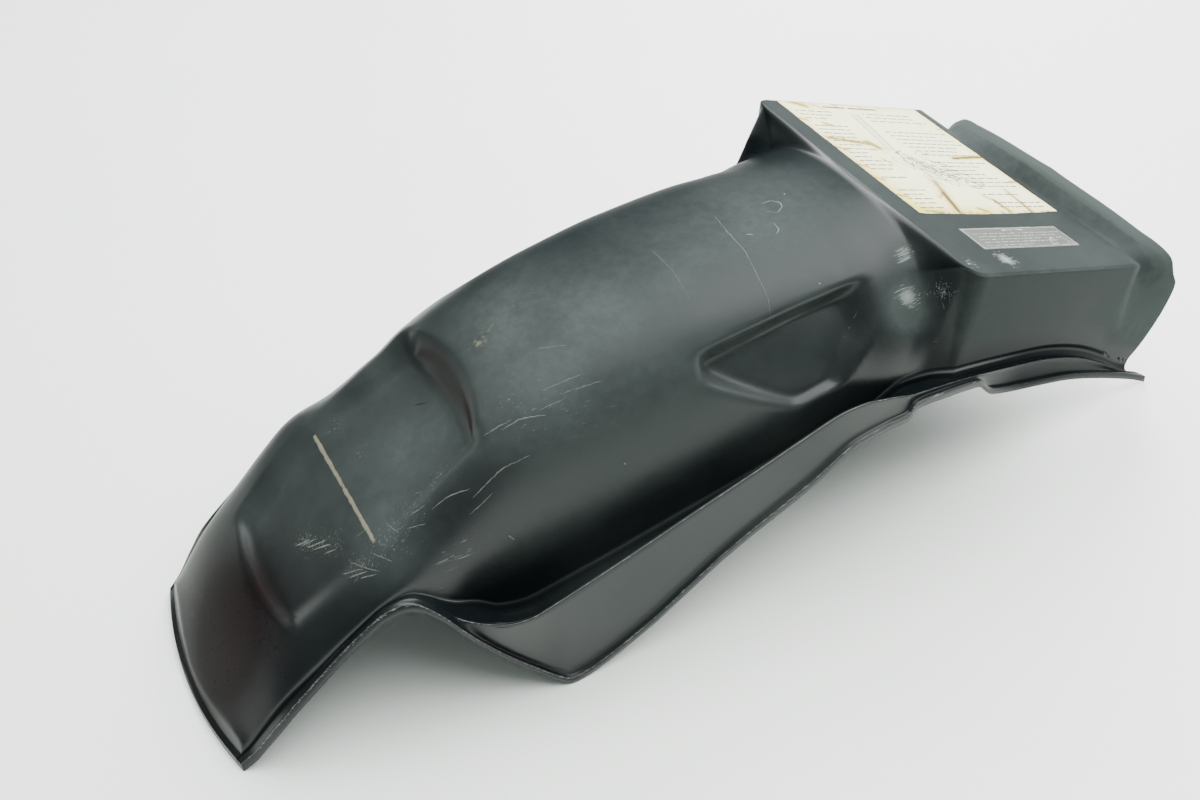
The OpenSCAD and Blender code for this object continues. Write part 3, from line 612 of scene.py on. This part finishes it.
# sizes in mm: a sticker's own a runs down the slope from its rear edge, and b from its far edge
paper = {
    "inset": 18.1, "length": 139.2, "farY": 102.0, "width": 141.0, "thick": 0.2, "sag": 2.2, "step": 1.2,
    "fray": 0.16, "seed": 11, "printSeed": 41, "rowStep": 5.1, "rows": 25, "bar": 1.15, "skip": 0.16,
    # columns of bars as start, end, first row and how full the rows are
    "columns": [(6, 42, 13, 0.8), (70, 136, 13, 0.9)],
    # brown streaks as a and b of two ends, half width and strength
    "streaks": [
        (4, 50, 40, 58, 1.6, 1.0), (38, 55, 41, 62, 3.0, 0.8), (36, 55, 10, 47, 2.2, 0.4),
        (105, 73, 139, 70, 1.3, 1.5), (52, 104, 45, 122, 2.6, 0.7), (46, 118, 37, 141, 1.9, 1.4),
        (45, 119, 36, 124, 1.4, 0.6), (87, 127, 88, 141, 1.1, 1.5), (82, 122, 87, 128, 1.4, 0.7),
        (114, 114, 111, 141, 1.2, 0.9), (112, 128, 110, 141, 1.2, 1.2), (60, 137, 66, 141, 1.0, 1.3),
        (8, 139, 22, 141, 1.2, 1.1), (30, 3, 36, 9, 1.3, 0.6), (12, 0, 22, 6, 2.4, 0.9),
        (52, 0, 54, 5, 0.9, 0.9), (78, 0, 80, 4, 0.8, 0.9), (96, 0, 98, 3, 0.8, 0.7),
        (0, 24, 6, 27, 1.0, 0.9), (0, 62, 7, 66, 1.0, 1.0), (0, 84, 6, 87, 0.9, 1.0),
        (0, 100, 6, 103, 0.9, 0.9), (0, 120, 7, 123, 1.0, 1.1), (18, 30, 24, 33, 1.5, 0.8),
        (30, 76, 34, 82, 0.9, 0.7), (139, 30, 132, 31, 0.8, 0.7), (139, 104, 131, 104, 0.9, 0.9),
    ],
}
film = {
    "inset": 34.5, "length": 96.0, "farY": -57.0, "width": 22.0, "thick": 0.2, "step": 1.0,
    "fray": 0.06, "seed": 23, "printSeed": 7, "bar": 0.55,
    # rows of bars as b, start and end
    "rows": [(3.0, 38, 60), (6.6, 6, 92), (9.6, 8, 86), (12.6, 6, 90), (15.6, 8, 84), (18.8, 6, 52)],
}
glue = 0.03  # the gap under both stickers, and between a sheet and its print


def onSlope(inset, farY, a, b, lift):
    # a point of the box's sloping top, from the distances a along it and b across it
    down = inset + a
    x = boxX + down * math.cos(boxSlope) + lift * math.sin(boxSlope)
    z = boxHeight - down * math.sin(boxSlope) + lift * math.cos(boxSlope)
    return (np.stack([x, farY - b + 0 * x, z], -1) - [middleX, 0, 0]) * mm


def wobble(n, seed, size, smooth=3):
    # a row of n seeded random offsets, averaged over their neighbours
    rows = np.random.default_rng(seed).normal(0, size, n + 2 * smooth)
    return np.convolve(rows, np.ones(2 * smooth + 1) / (2 * smooth + 1) ** 0.5, "valid")


def makeSticker(name, d, node):
    # a sheet on a grid of a and b, whose border is frayed by seeded offsets, with its wear as colour
    rows, cols = int(d["length"] / d["step"]) + 1, int(d["width"] / d["step"]) + 1
    u, w = np.meshgrid(np.linspace(0, 1, rows), np.linspace(0, 1, cols), indexing="ij")
    seed, fray = d["seed"], d["fray"]
    low, high = wobble(cols, seed, fray), wobble(cols, seed + 1, fray)
    left, right = wobble(rows, seed + 2, fray), wobble(rows, seed + 3, fray)
    a = mix(low[None, :], d["length"] + high[None, :], u)
    b = mix(left[:, None], d["width"] + right[:, None], w) + d.get("sag", 0) * np.sin(math.pi * u) * w ** 6
    rim = np.minimum(np.minimum(u, 1 - u) * rows, np.minimum(w, 1 - w) * cols)
    lift = glue + d["thick"] * np.minimum(1, 3 * rim)
    grime = np.zeros((rows, cols, 4))
    for a0, b0, a1, b1, half, strength in d.get("streaks", []):
        long = math.hypot(a1 - a0, b1 - b0)
        q = np.clip(((a - a0) * (a1 - a0) + (b - b0) * (b1 - b0)) / long ** 2, 0, 1)
        apart = np.hypot(a - mix(a0, a1, q), b - mix(b0, b1, q))
        core = strength * ease(half * 1.25, half * 0.45, apart)
        grime[..., 0] = np.maximum(grime[..., 0], core)
        grime[..., 1] = np.maximum(grime[..., 1], 0.75 * strength * ease(half * 3.2, half * 0.8, apart))
    border = np.minimum(np.minimum(a, d["length"] - a), np.minimum(b, d["width"] - b))
    aged = 0.45 * ease(9, 0, border) + 0.4 * ease(26, 0, a) * ease(20, 110, b)
    aged = aged + 0.35 * ease(22, 0, d["width"] - b) * ease(110, 20, a)
    grime[..., 1] = np.clip(grime[..., 1] + aged, 0, 1.2)
    grime[..., 2] = ease(1.6, 0.1, border)
    grime[..., 3] = 1
    piece = makeMesh(name, onSlope(d["inset"], d["farY"], a, b, lift), gridFaces(rows, cols)[:, ::-1])
    paintPoints(piece, "grime", grime)
    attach(piece, "root")
    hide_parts(node)
    print(name, rows, "by", cols)
    return piece


def makeBars(name, d, bars, node):
    # printed strokes: each is a flat four-cornered strip between two points of the sticker's own a and b
    ends = np.array([bar[:4] for bar in bars], float)
    half = np.array([bar[4] for bar in bars], float)[:, None] / 2
    begin, stop = ends[:, :2], ends[:, 2:]
    way = stop - begin
    across = np.stack([-way[:, 1], way[:, 0]], 1) / np.linalg.norm(way, axis=1)[:, None] * half
    corners = np.stack([begin - across, stop - across, stop + across, begin + across], 1)
    points = onSlope(d["inset"], d["farY"], corners[..., 0], corners[..., 1], d["thick"] + 2 * glue)
    first = np.arange(len(bars))[:, None] * 4
    piece = makeMesh(name, points, first + np.array([[3, 2, 1, 0]]), False)
    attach(piece, "root")
    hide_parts(node)
    print(name, len(bars), "strokes")
    return piece


def wordRow(rng, start, end, level, thick):
    # a row of short strokes with small gaps, like a greeked line of print
    bars, a = [], start
    while a < end - 2:
        stop = min(end, a + rng.uniform(2.5, 8.5))
        bars.append((a, level + rng.normal(0, 0.08), stop, level + rng.normal(0, 0.08), thick))
        a = stop + rng.uniform(1.0, 1.8)
    return bars


def loopBars(a, b, long, wide, turn, thick, n=28):
    # an ellipse as n short strokes
    q = np.linspace(0, 2 * math.pi, n + 1)
    x = a + long * np.cos(q) * math.cos(turn) - wide * np.sin(q) * math.sin(turn)
    y = b + long * np.cos(q) * math.sin(turn) + wide * np.sin(q) * math.cos(turn)
    return [(x[i], y[i], x[i + 1], y[i + 1], thick) for i in range(n)]


def paperBars():
    # the large sticker's print: two bars as a heading, two columns of bars, and a sketch
    rng = np.random.default_rng(paper["printSeed"])
    bars = [(38, 5.6, 60, 5.6, 2.0), (63, 5.6, 92, 5.6, 2.0)]
    for start, end, first, share in paper["columns"]:
        for row in range(paper["rows"]):
            level = first + row * paper["rowStep"]
            inset = ease(50, 90, level) * ease(130, 100, level) * 10
            stop = mix(start, end - (inset if start < 50 else 0), rng.uniform(share - 0.25, 1))
            begin = start + (14 * ease(30, 120, level) if start > 50 else 0)
            if rng.random() > paper["skip"] and stop > begin + 4:
                bars += wordRow(rng, begin, stop, level, paper["bar"])
    # a plain sketch of long lines, loops and loose strokes in the middle
    for shift in (0, 2.2, 5.5, 7):
        bars.append((58 + shift, 14, 47 + shift, 66, 0.55))
    for k in range(15):
        a, b = 56 + rng.normal(0, 7) + k * 1.6, 78 + k * 1.9 + rng.normal(0, 3.5)
        bars += loopBars(a, b, rng.uniform(3, 11), rng.uniform(1.5, 5), rng.uniform(0.3, 1.2), 0.5, 18)
    for k in range(60):
        a, b = 50 + rng.uniform(0, 34), 64 + rng.uniform(0, 40)
        bars.append((a, b, a + rng.normal(4, 5), b + rng.normal(5, 4), 0.55))
    bars += loopBars(93, 101, 9, 4, 0.9, 0.5) + loopBars(97, 104, 4.5, 2.6, 0.9, 0.4)
    return bars


def filmBars():
    # the small sticker's print: rows of bars, a thin frame and a scraped corner
    rng = np.random.default_rng(film["printSeed"])
    bars = []
    for level, start, end in film["rows"]:
        bars += wordRow(rng, start, end, level, film["bar"] * (1.9 if level < 4 else 1))
    a, b = film["length"], film["width"]
    border = [(1, 1, a - 1, 1), (a - 1, 1, a - 1, b - 1), (a - 1, b - 1, 1, b - 1), (1, b - 1, 1, 1)]
    bars += [(*edge, 0.35) for edge in border]
    # the scraped corner
    bars += loopBars(74, 17, 4.2, 2.2, 2.3, 0.5, 16)[:9] + [(71, 20, 77, 19, 0.9), (72, 15, 71, 20, 1.1)]
    bars += [(a - 8, 14, a - 3, 20, 0.6), (a - 5, 19, a, 20.5, 0.9), (a - 9, 20, a - 7, 18, 0.5)]
    return bars


# materials


class Surface:
    # a new material with its shader, and short ways to add the nodes that it uses

    def __init__(self, name):
        self.material = bpy.data.materials.new(name)
        self.material.use_nodes = True
        self.nodes = self.material.node_tree.nodes
        self.links = self.material.node_tree.links
        self.nodes.clear()
        out = self.nodes.new("ShaderNodeOutputMaterial")
        self.shader = self.nodes.new("ShaderNodeBsdfPrincipled")
        self.links.new(self.shader.outputs[0], out.inputs[0])
        self.place = self.nodes.new("ShaderNodeTexCoord").outputs["Object"]

    def put(self, socket, value):
        # a socket is linked, and anything else is set as the value
        if isinstance(value, bpy.types.NodeSocket):
            self.links.new(value, socket)
        else:
            socket.default_value = value

    def give(self, name, value):
        # to the shader
        self.put(self.shader.inputs[name], value)

    def add(self, kind, values):
        # a node with its inputs, each by name
        node = self.nodes.new(kind)
        for name, value in values.items():
            self.put(node.inputs[name], value)
        return node

    def math(self, kind, a, b, clamp=False):
        node = self.nodes.new("ShaderNodeMath")
        node.operation, node.use_clamp = kind, clamp
        self.put(node.inputs[0], a)
        self.put(node.inputs[1], b)
        return node.outputs[0]

    def times(self, a, b, clamp=False):
        return self.math("MULTIPLY", a, b, clamp)

    def plus(self, a, b, clamp=False):
        return self.math("ADD", a, b, clamp)

    def noise(self, scale, detail, rough, turn=(0, 0, 0), stretch=(1, 1, 1)):
        # noise in the object's own coordinates, turned and stretched
        spot = self.add("ShaderNodeMapping", {"Vector": self.place, "Rotation": turn, "Scale": stretch})
        node = self.add("ShaderNodeTexNoise", {"Vector": spot.outputs[0], "Scale": scale,
                                               "Detail": detail, "Roughness": rough})
        return node.outputs["Fac"]

    def between(self, value, low, high, first=0.0, last=1.0):
        # from first to last, softly, while the value goes from low to high
        node = self.add("ShaderNodeMapRange", {"Value": value, "From Min": low, "From Max": high,
                                               "To Min": first, "To Max": last})
        node.interpolation_type = "SMOOTHSTEP"
        return node.outputs["Result"]

    def blend(self, share, first, second):
        # the first colour where the share is 0 and the second where it is 1
        node = self.nodes.new("ShaderNodeMix")
        node.data_type = "RGBA"
        for name, value in (("Factor", share), ("A", first), ("B", second)):
            self.put(node.inputs[name], value)
        return node.outputs["Result"]

    def attribute(self, name):
        # its red, green and blue and its fourth number, each as a socket
        node = self.nodes.new("ShaderNodeAttribute")
        node.attribute_name = name
        split = self.nodes.new("ShaderNodeSeparateColor")
        self.links.new(node.outputs["Color"], split.inputs[0])
        return list(split.outputs) + [node.outputs["Alpha"]]

    def bump(self, height, strength, distance):
        # fine relief that only the light shows
        node = self.add("ShaderNodeBump", {"Height": height, "Strength": strength, "Distance": distance})
        self.give("Normal", node.outputs[0])


# the bloom tone also paints a paler valley, highlights and a reflection, the scuff tone painted
# highlights, and the ruddy tone shade on the pad's steps
plasticLook = {
    "clean": (0.0035, 0.0052, 0.0062, 1), "bloomAndPaintedLight": (0.08, 0.097, 0.092, 1), "scuffAndHighlight": (0.36, 0.4, 0.37, 1),
    "cream": (0.22, 0.205, 0.145, 1), "ruddyAndShade": (0.014, 0.0055, 0.005, 1), "gloss": 0.27, "dull": 0.5,
    "ior": 1.4,
}


def makePlastic():
    # black plastic, with grey bloom, pale scuffs and cream dirt laid over it by the wear attribute, which
    # also carries painted highlights, a painted reflection, a paler valley and painted shade
    look = plasticLook
    m = Surface("satinBlackPlastic")
    bloomAndPaintedLight, scuffAndHighlight, cream, ruddyAndShade = m.attribute("wearAndLight")
    patches = m.noise(14, 4, 0.6)
    mottle = m.noise(170, 6, 0.7)
    grain = m.noise(1500, 3, 0.6)
    streakA = m.noise(16, 3, 0.7, (0.1, -0.3, 0.2), (1, 60, 60))
    streakB = m.noise(13, 3, 0.7, (0.2, -0.6, -0.4), (1, 70, 70))
    # bloom, and the painted light with it, lies in clouds that fine mottling breaks up
    cloud = m.times(m.between(patches, 0.32, 0.66, 0.72, 1.08), m.between(mottle, 0.3, 0.7, 0.86, 1.08))
    dustAndLight = m.times(bloomAndPaintedLight, cloud, True)
    thin = m.plus(dustAndLight, m.between(patches, 0.4, 0.75, 0.0, 0.05), True)
    # scuffs and the painted highlights are where streaks of two directions pass a level that falls as the
    # wear grows
    level = m.math("SUBTRACT", 0.72, m.times(m.math("MINIMUM", scuffAndHighlight, 0.9), 0.22))
    full = m.plus(level, 0.07)
    lines = m.math("MAXIMUM", m.between(streakA, level, full), m.between(streakB, level, full))
    wornAndHighlight = m.times(m.between(scuffAndHighlight, 0.7, 1.25), m.between(patches, 0.3, 0.6, 0.8, 1.0))
    rubAndHighlight = m.math("MAXIMUM", m.times(lines, m.between(scuffAndHighlight, 0.05, 0.6, 0.0, 0.55)), wornAndHighlight)
    crumbs = m.between(m.times(mottle, cream), 0.28, 0.5)
    colour = m.blend(m.times(ruddyAndShade, 0.5), look["clean"], look["ruddyAndShade"])
    colour = m.blend(m.times(thin, 0.62), colour, look["bloomAndPaintedLight"])
    colour = m.blend(m.times(rubAndHighlight, 0.75), colour, look["scuffAndHighlight"])
    colour = m.blend(m.times(crumbs, 0.8), colour, look["cream"])
    m.give("Base Color", colour)
    rough = m.plus(look["gloss"], m.times(thin, look["dull"] - look["gloss"]))
    rough = m.plus(rough, m.between(mottle, 0.3, 0.8, 0.0, 0.03))
    m.give("Roughness", m.plus(rough, m.times(rubAndHighlight, 0.25), True))
    m.give("IOR", look["ior"])
    # dust with the painted light, and the ruddy film with the painted shade on the pad's steps, take away
    # most of the shine
    shine = m.times(m.between(thin, 0.0, 0.9, 0.5, 0.13), m.between(ruddyAndShade, 0.0, 0.9, 1.0, 0.2))
    dulled = m.between(m.attribute("matte")[0], 0.0, 1.0, 1.0, 0.0)
    m.give("Specular IOR Level", m.times(shine, dulled))
    height = m.plus(m.times(grain, 0.5), m.times(lines, m.times(scuffAndHighlight, -0.15)))
    m.bump(m.plus(height, m.times(m.noise(9, 1, 0.5), 4.0)), 0.22, 0.0002)
    return m.material


scratchLook = {"dark": (0.004, 0.004, 0.004, 1), "pale": (0.3, 0.32, 0.29, 1), "rough": 0.55, "shine": 0.3}


def makeScratchTone():
    # from dark to pale by each strip's own tone, broken up by noise
    look = scratchLook
    m = Surface("scratchedPlastic")
    fade = m.times(m.attribute("tone")[0], m.between(m.noise(420, 3, 0.6), 0.3, 0.62, 0.45, 1.0))
    m.give("Base Color", m.blend(fade, look["dark"], look["pale"]))
    m.give("Roughness", look["rough"])
    m.give("Specular IOR Level", look["shine"])
    return m.material


paperLook = {
    "fresh": (0.9, 0.9, 0.58, 1), "aged": (0.7, 0.57, 0.1, 1), "stain": (0.2, 0.14, 0.02, 1),
    "crust": (0.07, 0.035, 0.012, 1), "torn": (0.28, 0.2, 0.08, 1),
}


def makePaper():
    # the sheet yellows in clouds, takes brown stains with a dark crust, and is torn at its rim
    look = paperLook
    m = Surface("agedCreamPaper")
    brown, yellow, rim, _ = m.attribute("grime")
    fibre = m.noise(900, 4, 0.7)
    cloud = m.noise(55, 5, 0.65)
    blot = m.noise(260, 5, 0.7)
    aged = m.plus(yellow, m.between(cloud, 0.45, 0.8, 0.0, 0.25), True)
    colour = m.blend(aged, look["fresh"], look["aged"])
    depth = m.plus(brown, m.math("SUBTRACT", blot, 0.5))
    colour = m.blend(m.times(m.between(depth, 0.25, 0.75), 0.85), colour, look["stain"])
    colour = m.blend(m.between(depth, 0.95, 1.35), colour, look["crust"])
    torn = m.between(m.times(rim, m.between(blot, 0.42, 0.62)), 0.35, 0.8, 0.0, 0.85)
    m.give("Base Color", m.blend(torn, colour, look["torn"]))
    m.give("Roughness", m.between(cloud, 0.3, 0.7, 0.55, 0.75))
    m.bump(m.plus(fibre, m.times(cloud, 3.0)), 0.2, 0.0002)
    return m.material


largeInk = {"faint": (0.22, 0.27, 0.27, 1), "strong": (0.015, 0.03, 0.04, 1), "low": 0.3, "high": 0.58}
smallInk = {"faint": (0.13, 0.14, 0.12, 1), "strong": (0.42, 0.44, 0.4, 1), "low": 0.32, "high": 0.62}


def makeInk(name, look):
    # print that is worn unevenly: faint where the noise is low
    m = Surface(name)
    fade = m.between(m.noise(240, 4, 0.7), look["low"], look["high"])
    m.give("Base Color", m.blend(fade, look["faint"], look["strong"]))
    m.give("Roughness", m.between(fade, 0, 1, 0.7, 0.5))
    return m.material


filmLook = {"clear": (0.055, 0.061, 0.052, 1), "hazy": (0.085, 0.092, 0.078, 1),
            "rim": (0.26, 0.27, 0.24, 1)}


def makeFilm():
    # dark hazy film with a paler rim
    look = filmLook
    m = Surface("greyPrintedFilm")
    rim = m.attribute("grime")[2]
    haze = m.between(m.noise(120, 5, 0.65), 0.3, 0.75)
    colour = m.blend(haze, look["clear"], look["hazy"])
    m.give("Base Color", m.blend(m.times(rim, 0.5), colour, look["rim"]))
    m.give("Roughness", m.between(haze, 0, 1, 0.4, 0.6))
    m.bump(m.noise(700, 3, 0.6), 0.15, 0.0001)
    return m.material


# stage

# lengths in mm and turns in radians: pitch is down, yaw is from +y towards +x
camera = {"focal": 34.96, "sensor": 36.0, "x": 21.2, "y": -421.1, "z": 600.0,
          "pitch": 0.8089, "yaw": 0.5280, "roll": 0.0057}


def makeCamera():
    # it looks along yaw and pitch, and is then turned about that way by roll
    pitch, yaw, roll = camera["pitch"], camera["yaw"], camera["roll"]
    ahead = Vector((math.sin(yaw) * math.cos(pitch), math.cos(yaw) * math.cos(pitch), -math.sin(pitch)))
    right = Vector((math.cos(yaw), -math.sin(yaw), 0))
    down = ahead.cross(right)
    rightRolled = right * math.cos(roll) + down * math.sin(roll)
    downRolled = down * math.cos(roll) - right * math.sin(roll)
    data = bpy.data.cameras.new("viewCamera")
    data.lens, data.sensor_width, data.sensor_fit = camera["focal"], camera["sensor"], "HORIZONTAL"
    data.clip_start = 0.01
    thing = bpy.data.objects.new("viewCamera", data)
    turn = Matrix((rightRolled, -downRolled, -ahead)).transposed().to_4x4()
    place = Vector(((camera["x"] - middleX) * mm, camera["y"] * mm, camera["z"] * mm))
    thing.matrix_world = Matrix.Translation(place) @ turn
    bpy.context.scene.collection.objects.link(thing)
    bpy.context.scene.camera = thing


# the floor in metres and its two tones, then the light of the room over the slant towards brightWay
room = {"floorHalf": 6.0, "floorClean": (0.9, 0.95, 0.9, 1), "floorStained": (0.87, 0.92, 0.86, 1),
        "strength": 1.15, "brightWay": (0.3, 0.3, 0.9), "dimBelow": 0.12, "brightAbove": 0.95,
        "dim": (0.13, 0.15, 0.15, 1), "bright": (0.93, 1, 0.97, 1), "aim": (0, 0, 0.05)}
# each lamp's name, place, width and power in watts
lamps = [("ceilingLight", (0.7, 0.3, 1.6), 2.8, 165), ("windowLight", (1.5, 1.6, 1.5), 1.4, 44)]


def makeStage():
    # a pale floor, a room that is brighter above, and two soft lamps
    corners = room["floorHalf"] * np.array([[-1, -1, 0], [1, -1, 0], [1, 1, 0], [-1, 1, 0]])
    floor = makeMesh("floor", corners, np.array([[0, 1, 2, 3]]))
    paint = Surface("paleFloor")
    stain = paint.between(paint.noise(2.2, 5, 0.6), 0.35, 0.75)
    tone = paint.blend(stain, room["floorClean"], room["floorStained"])
    paint.give("Base Color", tone)
    paint.give("Roughness", 0.5)
    floor.data.materials.append(paint.material)
    world = bpy.data.worlds.new("room")
    bpy.context.scene.world = world
    world.use_nodes = True
    # the room is dim near the horizon, most of all to the left and in front, and bright above
    tree = world.node_tree
    sky = tree.nodes["Background"]
    sky.inputs["Strength"].default_value = room["strength"]
    direction = tree.nodes.new("ShaderNodeTexCoord")
    slant = tree.nodes.new("ShaderNodeVectorMath")
    slant.operation = "DOT_PRODUCT"
    slant.inputs[1].default_value = room["brightWay"]
    tree.links.new(direction.outputs["Generated"], slant.inputs[0])
    ramp = tree.nodes.new("ShaderNodeMapRange")
    ramp.interpolation_type = "SMOOTHSTEP"
    ramp.inputs["From Min"].default_value = room["dimBelow"]
    ramp.inputs["From Max"].default_value = room["brightAbove"]
    tree.links.new(slant.outputs["Value"], ramp.inputs["Value"])
    tone = tree.nodes.new("ShaderNodeMix")
    tone.data_type = "RGBA"
    tone.inputs["A"].default_value = room["dim"]
    tone.inputs["B"].default_value = room["bright"]
    tree.links.new(ramp.outputs["Result"], tone.inputs["Factor"])
    tree.links.new(tone.outputs["Result"], sky.inputs["Color"])
    for name, place, width, power in lamps:
        data = bpy.data.lights.new(name, "AREA")
        data.shape, data.size, data.size_y, data.energy = "RECTANGLE", width, width, power
        lamp = bpy.data.objects.new(name, data)
        lamp.location = place
        way = Vector(room["aim"]) - Vector(place)
        lamp.rotation_euler = way.to_track_quat("-Z", "Y").to_euler()
        bpy.context.scene.collection.objects.link(lamp)


makeCamera()
makeStage()
pieces = [
    (makeShell(), makePlastic()),
    (makeScratches(), makeScratchTone()),
    (makeSticker("largeSticker", paper, "label_large"), makePaper()),
    (makeBars("largeStickerPrint", paper, paperBars(), "label_large"),
     makeInk("fadedGreyInk", largeInk)),
    (makeSticker("smallSticker", film, "label_small"), makeFilm()),
    (makeBars("smallStickerPrint", film, filmBars(), "label_small"),
     makeInk("wornWhiteInk", smallInk)),
]
for piece, material in pieces:
    piece.data.materials.append(material)
